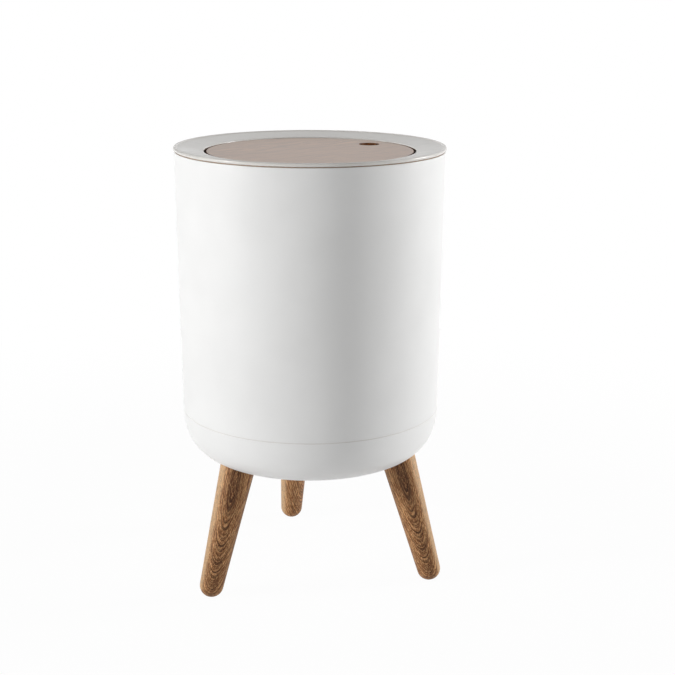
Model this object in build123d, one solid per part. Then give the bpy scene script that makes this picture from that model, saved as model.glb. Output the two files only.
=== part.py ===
from build123d import *

import os
from math import atan2, cos, degrees, radians, sin

# Push-top bin on three splayed wooden legs. Millimetres, +Z up.
# The origin is on the floor, under the barrel's axis. The press mark is at -Y and the hinge at +Y.

# ---- Driving dimensions -------------------------------------------------------------------------

# Barrel and base bowl
TOTAL_H = 390.0
BARREL_R = 117.7  # outside, at its top edge
SEAM_Z = 386.2  # the barrel's top edge, where the lid rests
WALL = 2.5
BARREL_LIP = 0.8  # rounding of the barrel's top edge
BOWL_SEAM_Z = 156.0
BOWL_R = 114.8
BOWL_BOTTOM_Z = 113.0
BOWL_FLAT_R = 80.4
BOWL_WALL = 3.0
BOWL_FULLNESS = 0.598  # length of the curve's handles; 0.552 would give an ellipse
SPIGOT_H = 10.0
SPIGOT_R = 112.2
SPIGOT_WALL = 2.4
SNAP_BEAD = 0.5
SEAM_CHAMFER = 0.4
LEDGE_Z = 350.0  # the bag ring rests on this ledge
LEDGE_R = 111.2
LEDGE_T = 2.0
LEDGE_SLOPE_H = 3.5

# Legs and their fixings
LEG_AZIMUTHS = {"leg_rear": 90.0, "leg_left": 210.0, "leg_right": 330.0}
LEG_TIP_R = 10.5
LEG_TOP_R = 15.6
LEG_TIP_REACH = 114.3  # from the barrel's axis to the centre of the leg's domed tip
LEG_TIP_Z = 10.1  # under the tip's radius, so the dome is cut flat where it stands
LEG_TILT = 16.54
LEG_SEAT = 113.0  # along the leg, from the centre of its tip to its seat in the bowl
LEG_TOP_CHAMFER = 0.6
LEG_SOCKET_DEPTH = 12.0
SEAT_CLEARANCE = 0.3
SEAT_WALL = 2.5
BOSS_R = 11.0
BOSS_H = 24.0
BOLT_R = 4.0
BOLT_IN_LEG = 25.0
BOLT_IN_BOSS = 20.0
BOLT_HOLE_SPARE = 1.5
BOLT_CHAMFER = 0.8
INSERT_R = 6.0
INSERT_L = 14.0
INSERT_FLANGE_R = 7.5
INSERT_FLANGE_T = 1.0

# Bag ring
BAG_RING_R = 113.9
BAG_RING_WALL = 2.0
BAG_RING_H = 12.0
BAG_RING_LIP_R = 110.3
BAG_RING_LIP_T = 2.0
BAG_RING_ROUND = 0.5

# Lid ring. Its top slopes up from the opening to a raised bead that runs round the rim.
RIM_R = 118.3
RIM_LOW_Z = 386.9  # the rim's underside, above a narrow gap round the barrel's edge
RIM_ROUND = 1.4
RIM_LOW_ROUND = 1.2
RIM_SEAT_R = 116.6  # inside the gap the ring rests on the barrel
BEAD_R = 116.2  # inner side of the bead's flat top
BEAD_ROUND = 0.8
SLOPE_END_R = 115.4
SLOPE_END_Z = 389.3
SLOPE_END_ROUND = 0.4
RING_T = 2.2
RING_EDGE_R = 92.15
RING_EDGE_Z = 386.2
RING_EDGE_ROUND = 1.0
RING_LOW_ROUND = 0.5
SKIRT_R = 114.5
SKIRT_WALL = 2.3
SKIRT_Z = 374.0
SKIRT_ROUND = 0.6
RIB_R = 97.0
RIB_WALL = 1.6
RIB_Z = 378.0
RIB_GAP = 66.0  # the rib stops here to let the hinge through

# Flap: wood panel, tape and tray
PANEL_R = 90.4
PANEL_TOP_Z = 385.5
PANEL_T = 3.0
PANEL_CHAMFER = 0.4
MARK_Y = -69.0
MARK_BANDS = ((9.0, 6.3), (5.3, 1.6))  # outer and inner radius of each burnt band
MARK_DEPTH = 0.25
TAPE_R = 78.4
TAPE_T = 0.4
TRAY_R = 88.3
TRAY_T = 2.0
TRAY_RIM_W = 2.4
TRAY_RIM_H = 2.0
TRAY_RIB_W = 1.6
TRAY_RIB_H = 1.6
TRAY_RIB_R = 52.0
TRAY_RIB_COUNT = 8

# Hinge. The pin lies beyond the panel's edge, under the ring, so each arm is a gooseneck.
HINGE_Y = 102.3
HINGE_Z = 380.5
PIN_R = 1.5
PIN_L = 60.0
PIN_RUNNING = 0.05
PIN_CHAMFER = 0.3
KNUCKLE_R = 3.5
ARM_X = (8.0, 14.0)
ARM_CLEAR_R = 13.0  # the ring's inner edge passes inside this radius as the flap turns
ARM_T = 4.0
ARM_ROOT = 26.0
EAR_R = 4.0
EAR_SPANS = ((-28.4, -25.4), (-3.0, 3.0), (25.4, 28.4))
CLIP_R = 3.6
CLIP_X = 28.6
CLIP_T = 0.8
SPRING_WIRE_R = 0.45
SPRING_BEND_R = 0.46  # the wire swells a little where a leg bends off the coil
SPRING_COIL_R = 2.9
SPRING_TURNS = 6.25
SPRING_X = (15.4, 24.6)
SPRING_LIFT_LEG = 19.0
SPRING_FIXED_LEG = 5.1

# Push latch
LATCH_Y = -81.8
HOUSING = (18.0, 12.0, 27.0)
HOUSING_TOP_Z = 374.0
HOUSING_FLOOR = 2.0
CAVITY = (13.0, 7.0)
FLANGE_T = 2.5
FLANGE_W = 36.0
FLANGE_ROUND = 3.0
FLANGE_END_Y = -104.3
LATCH_SCREW_X = 12.5
LATCH_SCREW_Y = -99.8
LATCH_SCREW_R = 1.45
LATCH_SCREW_HOLE_R = 1.6
LATCH_SCREW_L = 8.5
LATCH_SCREW_HEAD = (2.75, 2.0)  # radius and height
LATCH_SCREW_CROWN = 0.8
LATCH_SCREW_DRIVE_R = 1.0
LATCH_SCREW_DRIVE_H = 1.0
LATCH_BOSS_R = 3.5
LATCH_PILOT_L = 8.0
STRIKER_PLATE = (18.0, 6.4, 2.0)
STRIKER_SCREW_X = 6.0
STRIKER_SCREW_R = 1.0
STRIKER_SCREW_L = 3.8
STRIKER_SCREW_HEAD = (1.9, 1.2)  # radius and height
NECK = (3.2, 4.8)
HEAD = (6.4, 4.8, 2.8)
HEAD_CHAMFER = 1.0
HEAD_TOP_Z = 371.0
PLUNGER = (12.4, 6.4)
PLUNGER_BOTTOM_Z = 358.0
JAW_HEAD_GAP = 0.6
JAW_PLATE_T = 2.0
JAW_PLAY = 0.15  # between the jaws and the plunger, so that the jaws can tilt with the flap
JAW_INNER_X = 3.5
JAW_OUTER_X = 5.6
HOOK_INNER_X = 2.0
HOOK_GAP = 0.3
HOOK_H = 1.5
CAM_SLOT = (5.0, 1.1, 6.8)
CAM_PIN_R = 0.4
CAM_PIN_Y = -2.7  # from the plunger's axis
CAM_PIN_TOP_Z = 361.8
LATCH_SPRING_R = 1.6
LATCH_SPRING_WIRE_R = 0.3
LATCH_SPRING_TURNS = 5.0

FAR = 300.0  # past every side of the bin
OVERCUT = 1.0  # a cut starts this far outside what it cuts
SIDES = (-1, 1)


# ---- Helpers ------------------------------------------------------------------------------------


def turned(outline):
    """The solid of revolution of a closed outline drawn as (radius, height)."""
    return revolve(make_face(Plane.XZ * outline), Axis.Z)


def tube(outer_r, inner_r, low, high):
    """A straight round tube about Z between two heights."""
    return turned(Polyline((inner_r, low), (outer_r, low), (outer_r, high), (inner_r, high), close=True))


def rod(radius, low, high, x=0.0, y=0.0):
    """An upright round bar between two heights."""
    return Pos(x, y, (low + high) / 2) * Cylinder(radius, high - low)


def block(x_span, y_span, z_span):
    """A box between two values on each axis."""
    spans = (x_span, y_span, z_span)
    middle = [(low + high) / 2 for low, high in spans]
    size = [high - low for low, high in spans]
    return Pos(*middle) * Box(*size)


def across(middle, size):
    """The span of a size centred on a value."""
    return (middle - size / 2, middle + size / 2)


def save(node, *solids):
    """Writes one node's STEP file, from one solid or from several separate ones."""
    shape = solids[0] if len(solids) == 1 else Compound(list(solids))
    export_step(shape, f"parts/{node}.step")


# ---- Body: barrel, base bowl and legs -----------------------------------------------------------


def barrel_r(z):
    """Outer radius of the tapered barrel at a height."""
    return BOWL_R + (BARREL_R - BOWL_R) * (z - BOWL_SEAM_Z) / (SEAM_Z - BOWL_SEAM_Z)


def snap_groove():
    """The three outline points of the snap bead, from its top to its bottom."""
    middle = BOWL_SEAM_Z + SPIGOT_H / 2
    return [
        (SPIGOT_R, middle + SNAP_BEAD),
        (SPIGOT_R + SNAP_BEAD, middle),
        (SPIGOT_R, middle - SNAP_BEAD),
    ]


def make_barrel():
    slope_z = LEDGE_Z - LEDGE_T - LEDGE_SLOPE_H
    corners = [
        (SPIGOT_R, BOWL_SEAM_Z),
        (BOWL_R - SEAM_CHAMFER, BOWL_SEAM_Z),
        (barrel_r(BOWL_SEAM_Z + SEAM_CHAMFER), BOWL_SEAM_Z + SEAM_CHAMFER),
        (BARREL_R, SEAM_Z),
        (BARREL_R - WALL, SEAM_Z),
        (barrel_r(LEDGE_Z) - WALL, LEDGE_Z),
        (LEDGE_R, LEDGE_Z),
        (LEDGE_R, LEDGE_Z - LEDGE_T),
        (barrel_r(slope_z) - WALL, slope_z),
        (SPIGOT_R, BOWL_SEAM_Z + SPIGOT_H),
        *snap_groove(),
    ]
    rounds = [0.0] * len(corners)
    rounds[3] = BARREL_LIP
    rounds[4] = BARREL_LIP
    return turned(FilletPolyline(*corners, radius=rounds, close=True))


def bowl_curve(wall):
    """The bowl's rounded side, from its flat bottom up to its seam, a wall inside the outer face."""
    low = (BOWL_FLAT_R, BOWL_BOTTOM_Z + wall)
    top_r = BOWL_R if wall == 0 else SPIGOT_R - SPIGOT_WALL
    high = (top_r, BOWL_SEAM_Z - SEAM_CHAMFER)
    reach = BOWL_FULLNESS * (high[0] - low[0])
    rise = BOWL_FULLNESS * (high[1] - low[1])
    return Bezier(low, (low[0] + reach, low[1]), (high[0], high[1] - rise), high)


def bowl_outside():
    """The whole space inside the bowl's outer face, up to its seam."""
    side = bowl_curve(0)
    rest = Polyline(
        side @ 1,
        (BOWL_R - SEAM_CHAMFER, BOWL_SEAM_Z),
        (0, BOWL_SEAM_Z),
        (0, BOWL_BOTTOM_Z),
        side @ 0,
    )
    return turned(side + rest)


def bowl_inside():
    """The bowl's hollow, up through its spigot."""
    side = bowl_curve(BOWL_WALL)
    top = BOWL_SEAM_Z + SPIGOT_H
    rest = Polyline(
        side @ 1,
        (SPIGOT_R - SPIGOT_WALL, top),
        (0, top),
        (0, BOWL_BOTTOM_Z + BOWL_WALL),
        side @ 0,
    )
    return turned(side + rest)


def leg_frame(azimuth):
    """A leg's own frame: its origin is the centre of the domed tip, and Z runs up the leg."""
    out = Vector(cos(radians(azimuth)), sin(radians(azimuth)), 0)
    up = Vector(0, 0, cos(radians(LEG_TILT))) - out * sin(radians(LEG_TILT))
    tip = out * LEG_TIP_REACH + Vector(0, 0, LEG_TIP_Z)
    return Plane(origin=tip, x_dir=Vector(0, 0, 1).cross(out), z_dir=up)


def make_base_bowl():
    outside = bowl_outside()
    spigot = turned(
        Polyline(
            (SPIGOT_R - SPIGOT_WALL, BOWL_SEAM_Z - OVERCUT),
            (SPIGOT_R, BOWL_SEAM_Z - OVERCUT),
            *reversed(snap_groove()),
            (SPIGOT_R, BOWL_SEAM_Z + SPIGOT_H),
            (SPIGOT_R - SPIGOT_WALL, BOWL_SEAM_Z + SPIGOT_H),
            close=True,
        )
    )
    bowl = outside + spigot - bowl_inside()
    socket_r = LEG_TOP_R + SEAT_CLEARANCE
    for azimuth in LEG_AZIMUTHS.values():
        frame = leg_frame(azimuth)
        seat = frame * rod(socket_r + SEAT_WALL, LEG_SEAT - LEG_SOCKET_DEPTH, LEG_SEAT + BOWL_WALL)
        bowl += seat & outside
        bowl += frame * rod(BOSS_R, LEG_SEAT, LEG_SEAT + BOSS_H)
    for azimuth in LEG_AZIMUTHS.values():
        frame = leg_frame(azimuth)
        bowl -= frame * rod(socket_r, LEG_SEAT - 2 * LEG_SOCKET_DEPTH, LEG_SEAT)
        bowl -= frame * rod(INSERT_FLANGE_R, LEG_SEAT - OVERCUT, LEG_SEAT + INSERT_FLANGE_T)
        bowl -= frame * rod(INSERT_R, LEG_SEAT, LEG_SEAT + INSERT_L)
        bowl -= frame * rod(BOLT_R, LEG_SEAT, LEG_SEAT + BOLT_IN_BOSS + BOLT_HOLE_SPARE)
    return bowl


def make_leg(azimuth):
    flare = LEG_TOP_R - LEG_TIP_R
    lean = degrees(atan2(flare, LEG_SEAT))
    dome = CenterArc((0, 0), LEG_TIP_R, -90, 90 - lean)
    side = Polyline(
        dome @ 1,
        (LEG_TOP_R - LEG_TOP_CHAMFER * flare / LEG_SEAT, LEG_SEAT - LEG_TOP_CHAMFER),
        (LEG_TOP_R - LEG_TOP_CHAMFER, LEG_SEAT),
        (0, LEG_SEAT),
        dome @ 0,
    )
    leg = turned(dome + side)
    leg -= rod(BOLT_R, LEG_SEAT - BOLT_IN_LEG - BOLT_HOLE_SPARE, LEG_SEAT + OVERCUT)
    leg = leg_frame(azimuth) * leg
    return leg - block((-FAR, FAR), (-FAR, FAR), (-FAR, 0))


def make_threaded_insert(azimuth):
    insert = rod(INSERT_R, LEG_SEAT, LEG_SEAT + INSERT_L)
    insert += rod(INSERT_FLANGE_R, LEG_SEAT, LEG_SEAT + INSERT_FLANGE_T)
    insert -= rod(BOLT_R, LEG_SEAT - OVERCUT, LEG_SEAT + INSERT_L + OVERCUT)
    return leg_frame(azimuth) * insert


def make_hanger_bolt(azimuth):
    """Wood screw in the leg, plain collar, machine screw in the insert."""
    bolt = rod(BOLT_R, LEG_SEAT - BOLT_IN_LEG, LEG_SEAT + BOLT_IN_BOSS)
    bolt = chamfer(bolt.edges().filter_by(GeomType.CIRCLE).group_by(Axis.Z)[-1], BOLT_CHAMFER)
    return leg_frame(azimuth) * bolt


# ---- Bag ring -----------------------------------------------------------------------------------


def make_bag_ring():
    low = LEDGE_Z
    top = LEDGE_Z + BAG_RING_H
    corners = [
        (BAG_RING_R - BAG_RING_WALL, low),
        (BAG_RING_R, low),
        (BAG_RING_R, top),
        (BAG_RING_LIP_R, top),
        (BAG_RING_LIP_R, top - BAG_RING_LIP_T),
        (BAG_RING_R - BAG_RING_WALL, top - BAG_RING_LIP_T),
    ]
    return turned(FilletPolyline(*corners, radius=BAG_RING_ROUND, close=True))


# ---- Lid ring with its hinge ears and latch bosses ----------------------------------------------


def slope_z(radius):
    """Height of the lid ring's sloping top face."""
    rise = (SLOPE_END_Z - RING_EDGE_Z) / (SLOPE_END_R - RING_EDGE_R)
    return RING_EDGE_Z + rise * (radius - RING_EDGE_R)


def under_slope(shape):
    """What of a shape lies under the middle of the sloping plate, so that it fuses with the plate."""
    skirt_middle = SKIRT_R - SKIRT_WALL / 2
    depth = RING_T / 2
    space = turned(
        Polyline(
            (RING_EDGE_R, 0),
            (skirt_middle, 0),
            (skirt_middle, slope_z(skirt_middle) - depth),
            (RING_EDGE_R, slope_z(RING_EDGE_R) - depth),
            close=True,
        )
    )
    return shape & space


def make_lid_ring():
    skirt_inner = SKIRT_R - SKIRT_WALL
    corners_and_rounds = {
        (RING_EDGE_R, RING_EDGE_Z - RING_T): RING_LOW_ROUND,
        (RING_EDGE_R, RING_EDGE_Z): RING_EDGE_ROUND,
        (SLOPE_END_R, SLOPE_END_Z): SLOPE_END_ROUND,
        (BEAD_R, TOTAL_H): BEAD_ROUND,
        (RIM_R, TOTAL_H): RIM_ROUND,
        (RIM_R, RIM_LOW_Z): RIM_LOW_ROUND,
        (RIM_SEAT_R, RIM_LOW_Z): 0.0,
        (RIM_SEAT_R, SEAM_Z): 0.0,
        (SKIRT_R, SEAM_Z): 0.0,
        (SKIRT_R, SKIRT_Z): SKIRT_ROUND,
        (skirt_inner, SKIRT_Z): SKIRT_ROUND,
        (skirt_inner, slope_z(skirt_inner) - RING_T): 0.0,
    }
    rounds = list(corners_and_rounds.values())
    ring = turned(FilletPolyline(*corners_and_rounds, radius=rounds, close=True))
    rib = tube(RIB_R, RIB_R - RIB_WALL, RIB_Z, TOTAL_H)
    rib -= block(across(0, RIB_GAP), (0, FAR), (0, 2 * FAR))
    ring += under_slope(rib)
    for side in SIDES:
        boss = rod(LATCH_BOSS_R, HOUSING_TOP_Z, TOTAL_H, side * LATCH_SCREW_X, LATCH_SCREW_Y)
        ring += under_slope(boss)
    for span in EAR_SPANS:
        ear = block(span, across(HINGE_Y, 2 * EAR_R), (HINGE_Z, TOTAL_H))
        ear += along_x(Circle(EAR_R), *span)
        ring += under_slope(ear)
    ring -= along_x(Circle(PIN_R + PIN_RUNNING), -PIN_L / 2, PIN_L / 2)
    for side in SIDES:
        top = HOUSING_TOP_Z + LATCH_PILOT_L
        ring -= rod(LATCH_SCREW_R, HOUSING_TOP_Z - OVERCUT, top, side * LATCH_SCREW_X, LATCH_SCREW_Y)
    return ring


# ---- Hinge --------------------------------------------------------------------------------------


def along_x(profile, left, right):
    """A profile drawn about the hinge axis as (outwards, up), extruded between two x values."""
    start = Plane(origin=(left, HINGE_Y, HINGE_Z), x_dir=(0, 1, 0), z_dir=(1, 0, 0))
    return extrude(start * profile, right - left)


def make_hinge_pin():
    pin = along_x(Circle(PIN_R), -PIN_L / 2, PIN_L / 2)
    return chamfer(pin.edges().filter_by(GeomType.CIRCLE), PIN_CHAMFER)


def make_pin_clip(side):
    inner = side * CLIP_X
    outer = side * (CLIP_X + CLIP_T)
    return along_x(Circle(CLIP_R) - Circle(PIN_R), min(inner, outer), max(inner, outer))


def make_torsion_spring(side):
    """Coil round the pin. One leg stands up against the lid ring, the other lifts the tray's rim."""
    start, end = SPRING_X
    length = end - start
    frame = Plane(origin=(start, 0, 0), x_dir=(0, 1, 0), z_dir=(1, 0, 0))
    path = Helix(length / SPRING_TURNS, length, SPRING_COIL_R, lefthand=True)
    section = Plane(origin=path @ 0, z_dir=path % 0) * Circle(SPRING_WIRE_R)
    spring = frame * sweep(section, path=path, is_frenet=True)
    spring += Pos(start, SPRING_COIL_R, 0) * Sphere(SPRING_BEND_R)
    spring += rod(SPRING_WIRE_R, 0, SPRING_FIXED_LEG, start, SPRING_COIL_R)
    spring += Pos(end, 0, -SPRING_COIL_R) * Sphere(SPRING_BEND_R)
    lift_leg = Pos(end, -SPRING_LIFT_LEG / 2, -SPRING_COIL_R) * Rot(90, 0, 0)
    spring += lift_leg * Cylinder(SPRING_WIRE_R, SPRING_LIFT_LEG)
    spring = Pos(0, HINGE_Y, HINGE_Z) * spring
    return spring if side > 0 else mirror(spring, Plane.YZ)


# ---- Flap: panel, tape and tray -----------------------------------------------------------------


def make_flap_panel():
    low = PANEL_TOP_Z - PANEL_T
    panel = rod(PANEL_R, low, PANEL_TOP_Z)
    panel = chamfer(panel.edges().filter_by(GeomType.CIRCLE), PANEL_CHAMFER)
    for outer_r, inner_r in MARK_BANDS:
        band = tube(outer_r, inner_r, PANEL_TOP_Z - MARK_DEPTH, PANEL_TOP_Z + OVERCUT)
        panel -= Pos(0, MARK_Y, 0) * band
    return panel


def make_panel_tape():
    low = PANEL_TOP_Z - PANEL_T - TAPE_T
    return rod(TAPE_R, low, low + TAPE_T)


def make_flap_tray():
    top = PANEL_TOP_Z - PANEL_T
    under = top - TRAY_T
    tray = rod(TRAY_R, under, top)
    tray += tube(TRAY_R, TRAY_R - TRAY_RIM_W, under - TRAY_RIM_H, under)
    tray += tube(TRAY_RIB_R, TRAY_RIB_R - TRAY_RIB_W, under - TRAY_RIB_H, under)
    for number in range(TRAY_RIB_COUNT):
        turn = (number + 0.5) * 360 / TRAY_RIB_COUNT
        reach = (TRAY_RIB_R - TRAY_RIB_W / 2, TRAY_R - TRAY_RIM_W / 2)
        spoke = block(reach, across(0, TRAY_RIB_W), (under - TRAY_RIB_H, under))
        tray += Rot(0, 0, turn) * spoke
    tray -= rod(TAPE_R, top - TAPE_T, top + OVERCUT)
    for side in SIDES:
        left, right = sorted((side * ARM_X[0], side * ARM_X[1]))
        tray += along_x(arm_profile(top), left, right)
    tray -= along_x(Circle(PIN_R + PIN_RUNNING), -PIN_L / 2, PIN_L / 2)
    pilot_top = under + STRIKER_SCREW_L - STRIKER_PLATE[2]
    for side in SIDES:
        tray -= rod(STRIKER_SCREW_R, under - OVERCUT, pilot_top, side * STRIKER_SCREW_X, LATCH_Y)
    return tray


def arm_profile(tray_top):
    """Gooseneck from the tray, round under the ring's inner edge, up to the pin."""
    outer = ARM_CLEAR_R + ARM_T
    neck = Circle(outer) - Circle(ARM_CLEAR_R)
    neck &= Pos(-outer / 2, -outer / 2) * Rectangle(outer, outer)
    stem = Pos(0, -outer / 2) * Rectangle(2 * KNUCKLE_R, outer)
    pad_top = tray_top - HINGE_Z - TAPE_T
    heel = -ARM_CLEAR_R - ARM_T / 2
    pad = make_face(
        Polyline(
            (-ARM_CLEAR_R, pad_top),
            (-ARM_ROOT, pad_top),
            (-ARM_ROOT, 0),
            (heel, -ARM_T),
            (-ARM_CLEAR_R, 0),
            close=True,
        )
    )
    return neck + stem + pad + Circle(KNUCKLE_R)


# ---- Push latch ---------------------------------------------------------------------------------


def make_latch_housing():
    wide, deep, high = HOUSING
    low = HOUSING_TOP_Z - high
    housing = block(across(0, wide), across(LATCH_Y, deep), (low, HOUSING_TOP_Z))
    top = HOUSING_TOP_Z + OVERCUT
    flange_z = (HOUSING_TOP_Z - FLANGE_T, HOUSING_TOP_Z)
    housing += block(across(0, FLANGE_W), (FLANGE_END_Y, LATCH_Y), flange_z)
    housing = fillet(housing.edges().filter_by(Axis.Z).group_by(Axis.Y)[0], FLANGE_ROUND)
    housing -= block(across(0, CAVITY[0]), across(LATCH_Y, CAVITY[1]), (low + HOUSING_FLOOR, top))
    for side in SIDES:
        housing -= rod(LATCH_SCREW_HOLE_R, low, top, side * LATCH_SCREW_X, LATCH_SCREW_Y)
    return housing


def make_latch_screw(side):
    head_r, head_h = LATCH_SCREW_HEAD
    seat = HOUSING_TOP_Z - FLANGE_T
    x = side * LATCH_SCREW_X
    under = seat - head_h
    head = rod(head_r, under, seat, x, LATCH_SCREW_Y)
    screw = fillet(head.edges().group_by(Axis.Z)[0], LATCH_SCREW_CROWN)
    screw -= rod(LATCH_SCREW_DRIVE_R, under - OVERCUT, under + LATCH_SCREW_DRIVE_H, x, LATCH_SCREW_Y)
    return screw + rod(LATCH_SCREW_R, seat, seat + LATCH_SCREW_L, x, LATCH_SCREW_Y)


def make_striker():
    wide, deep, thick = STRIKER_PLATE
    top = PANEL_TOP_Z - PANEL_T - TRAY_T
    striker = block(across(0, wide), across(LATCH_Y, deep), (top - thick, top))
    striker += block(across(0, NECK[0]), across(LATCH_Y, NECK[1]), (HEAD_TOP_Z, top - thick))
    head = block(across(0, HEAD[0]), across(LATCH_Y, HEAD[1]), (HEAD_TOP_Z - HEAD[2], HEAD_TOP_Z))
    low_edges = head.edges().filter_by(Axis.Y).group_by(Axis.Z)[0]
    striker += chamfer(low_edges, HEAD_CHAMFER)
    low = top - thick
    for side in SIDES:
        striker -= rod(STRIKER_SCREW_R, low - OVERCUT, top + OVERCUT, side * STRIKER_SCREW_X, LATCH_Y)
    return striker


def make_striker_screw(side):
    head_r, head_h = STRIKER_SCREW_HEAD
    seat = PANEL_TOP_Z - PANEL_T - TRAY_T - STRIKER_PLATE[2]
    x = side * STRIKER_SCREW_X
    screw = rod(head_r, seat - head_h, seat, x, LATCH_Y)
    return screw + rod(STRIKER_SCREW_R, seat, seat + STRIKER_SCREW_L, x, LATCH_Y)


def make_latch_jaws():
    plate_top = HEAD_TOP_Z - HEAD[2] - JAW_HEAD_GAP
    hook_z = HEAD_TOP_Z + HOOK_GAP
    y_span = across(LATCH_Y, PLUNGER[1])
    jaws = block(across(0, PLUNGER[0]), y_span, (plate_top - JAW_PLATE_T, plate_top))
    for side in SIDES:
        jaw_x = sorted((side * JAW_INNER_X, side * JAW_OUTER_X))
        hook_x = sorted((side * HOOK_INNER_X, side * JAW_OUTER_X))
        jaws += block(jaw_x, y_span, (plate_top, hook_z))
        jaws += block(hook_x, y_span, (hook_z, hook_z + HOOK_H))
    return jaws


def make_latch_plunger():
    top = HEAD_TOP_Z - HEAD[2] - JAW_HEAD_GAP - JAW_PLATE_T - JAW_PLAY
    y_span = across(LATCH_Y, PLUNGER[1])
    plunger = block(across(0, PLUNGER[0]), y_span, (PLUNGER_BOTTOM_Z, top))
    slot_wide, slot_deep, slot_high = CAM_SLOT
    face_y = LATCH_Y - PLUNGER[1] / 2
    slot = block(
        across(0, slot_wide),
        (face_y - OVERCUT, face_y + slot_deep),
        (PLUNGER_BOTTOM_Z - OVERCUT, PLUNGER_BOTTOM_Z + slot_high),
    )
    return plunger - slot


def make_latch_pin():
    floor = HOUSING_TOP_Z - HOUSING[2] + HOUSING_FLOOR
    return rod(CAM_PIN_R, floor, CAM_PIN_TOP_Z, 0, LATCH_Y + CAM_PIN_Y)


def make_latch_spring():
    floor = HOUSING_TOP_Z - HOUSING[2] + HOUSING_FLOOR
    length = PLUNGER_BOTTOM_Z - floor - 2 * LATCH_SPRING_WIRE_R
    path = Helix(length / LATCH_SPRING_TURNS, length, LATCH_SPRING_R)
    section = Plane(origin=path @ 0, z_dir=path % 0) * Circle(LATCH_SPRING_WIRE_R)
    return Pos(0, LATCH_Y, floor + LATCH_SPRING_WIRE_R) * sweep(section, path=path, is_frenet=True)


# ---- Every node ---------------------------------------------------------------------------------

os.makedirs("parts", exist_ok=True)

save("barrel", make_barrel())
save("base_bowl", make_base_bowl())
for leg_name, leg_azimuth in LEG_AZIMUTHS.items():
    save(leg_name, make_leg(leg_azimuth))
save("threaded_inserts", *[make_threaded_insert(azimuth) for azimuth in LEG_AZIMUTHS.values()])
save("hanger_bolts", *[make_hanger_bolt(azimuth) for azimuth in LEG_AZIMUTHS.values()])
save("bag_ring", make_bag_ring())
save("lid_ring", make_lid_ring())
save("hinge_pin", make_hinge_pin())
save("pin_clips", *[make_pin_clip(side) for side in SIDES])
save("torsion_spring_left", make_torsion_spring(-1))
save("torsion_spring_right", make_torsion_spring(1))
save("flap_panel", make_flap_panel())
save("panel_tape", make_panel_tape())
save("flap_tray", make_flap_tray())
save("striker", make_striker())
save("striker_screws", *[make_striker_screw(side) for side in SIDES])
save("latch_housing", make_latch_housing())
save("latch_screws", *[make_latch_screw(side) for side in SIDES])
save("latch_jaws", make_latch_jaws())
save("latch_plunger", make_latch_plunger())
save("latch_pin", make_latch_pin())
save("latch_spring", make_latch_spring())
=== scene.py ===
# %% [markdown]
# # A push-top bin on three turned legs
#
# The bin is a white barrel that snaps onto a rounded base bowl. Three turned wooden legs screw
# into the bowl, and a round wooden flap sits in a ring-shaped lid. The frame already holds every
# solid at its real size, in metres, so this script only dresses it: it loads the frame, sets the
# camera and the lamps, makes the finishes, and models two pieces of its own, the skin of char in
# the press mark and the coil of the latch's spring.

# %% Load the frame
import math

import bmesh
import bpy
from mathutils import Euler, Matrix, Vector


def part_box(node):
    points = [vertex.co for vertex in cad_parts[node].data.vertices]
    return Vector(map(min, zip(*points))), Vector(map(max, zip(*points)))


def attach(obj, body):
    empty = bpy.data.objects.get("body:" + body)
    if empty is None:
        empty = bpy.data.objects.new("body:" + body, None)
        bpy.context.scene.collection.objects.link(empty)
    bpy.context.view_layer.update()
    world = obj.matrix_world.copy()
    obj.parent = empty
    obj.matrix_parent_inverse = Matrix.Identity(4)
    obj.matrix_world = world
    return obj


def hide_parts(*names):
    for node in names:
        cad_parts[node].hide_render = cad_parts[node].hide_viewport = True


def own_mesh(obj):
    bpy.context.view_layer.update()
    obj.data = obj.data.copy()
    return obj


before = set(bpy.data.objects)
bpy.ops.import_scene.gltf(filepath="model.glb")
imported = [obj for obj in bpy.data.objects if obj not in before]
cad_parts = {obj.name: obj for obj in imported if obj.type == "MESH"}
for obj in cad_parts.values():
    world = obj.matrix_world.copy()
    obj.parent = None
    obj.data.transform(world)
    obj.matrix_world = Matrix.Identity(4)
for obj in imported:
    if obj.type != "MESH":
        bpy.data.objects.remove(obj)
scene = bpy.context.scene
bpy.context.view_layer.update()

# %% [markdown]
# ## Camera
#
# The bin is seen from a little above, with the press mark on the right. A long lens keeps the
# barrel's sides nearly straight. The camera could be aimed with a Track To constraint, but a
# place and a turn are easier to read and to keep.

# %% Camera
CAMERA_PLACE = (-0.9299, 0.7749, 0.5381)
CAMERA_TURN = (75.154, -0.194, -130.904)  # degrees about X, Y and Z
CAMERA_LENS = 74.23  # millimetres
CAMERA_SENSOR = 36.0  # millimetres across

lens = bpy.data.cameras.new("camera")
lens.lens = CAMERA_LENS
lens.sensor_width = CAMERA_SENSOR
camera = bpy.data.objects.new("camera", lens)
camera.location = CAMERA_PLACE
camera.rotation_euler = Euler([math.radians(v) for v in CAMERA_TURN])
scene.collection.objects.link(camera)
scene.camera = camera
scene.view_settings.view_transform = "Standard"
print("camera is", round(Vector(CAMERA_PLACE).length, 3), "m from the floor point under the bin")

# %% [markdown]
# ## Helpers for node trees
#
# Every finish below is a small node tree. One helper adds a node, sets its fields and fills its
# inputs: a value is written into the socket, and another node's output is linked to it. The rest
# are short forms of it for the nodes used most. They keep each material short enough to read.


# %% Add one node
def add(tree, kind, inputs=None, **fields):
    """Adds a node, sets its fields, then writes or links its inputs, given by name or number."""
    node = tree.nodes.new(kind)
    for field, value in fields.items():
        setattr(node, field, value)
    for socket, value in (inputs or {}).items():
        if isinstance(value, bpy.types.NodeSocket):
            tree.links.new(value, node.inputs[socket])
        else:
            node.inputs[socket].default_value = value
    return node


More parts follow.
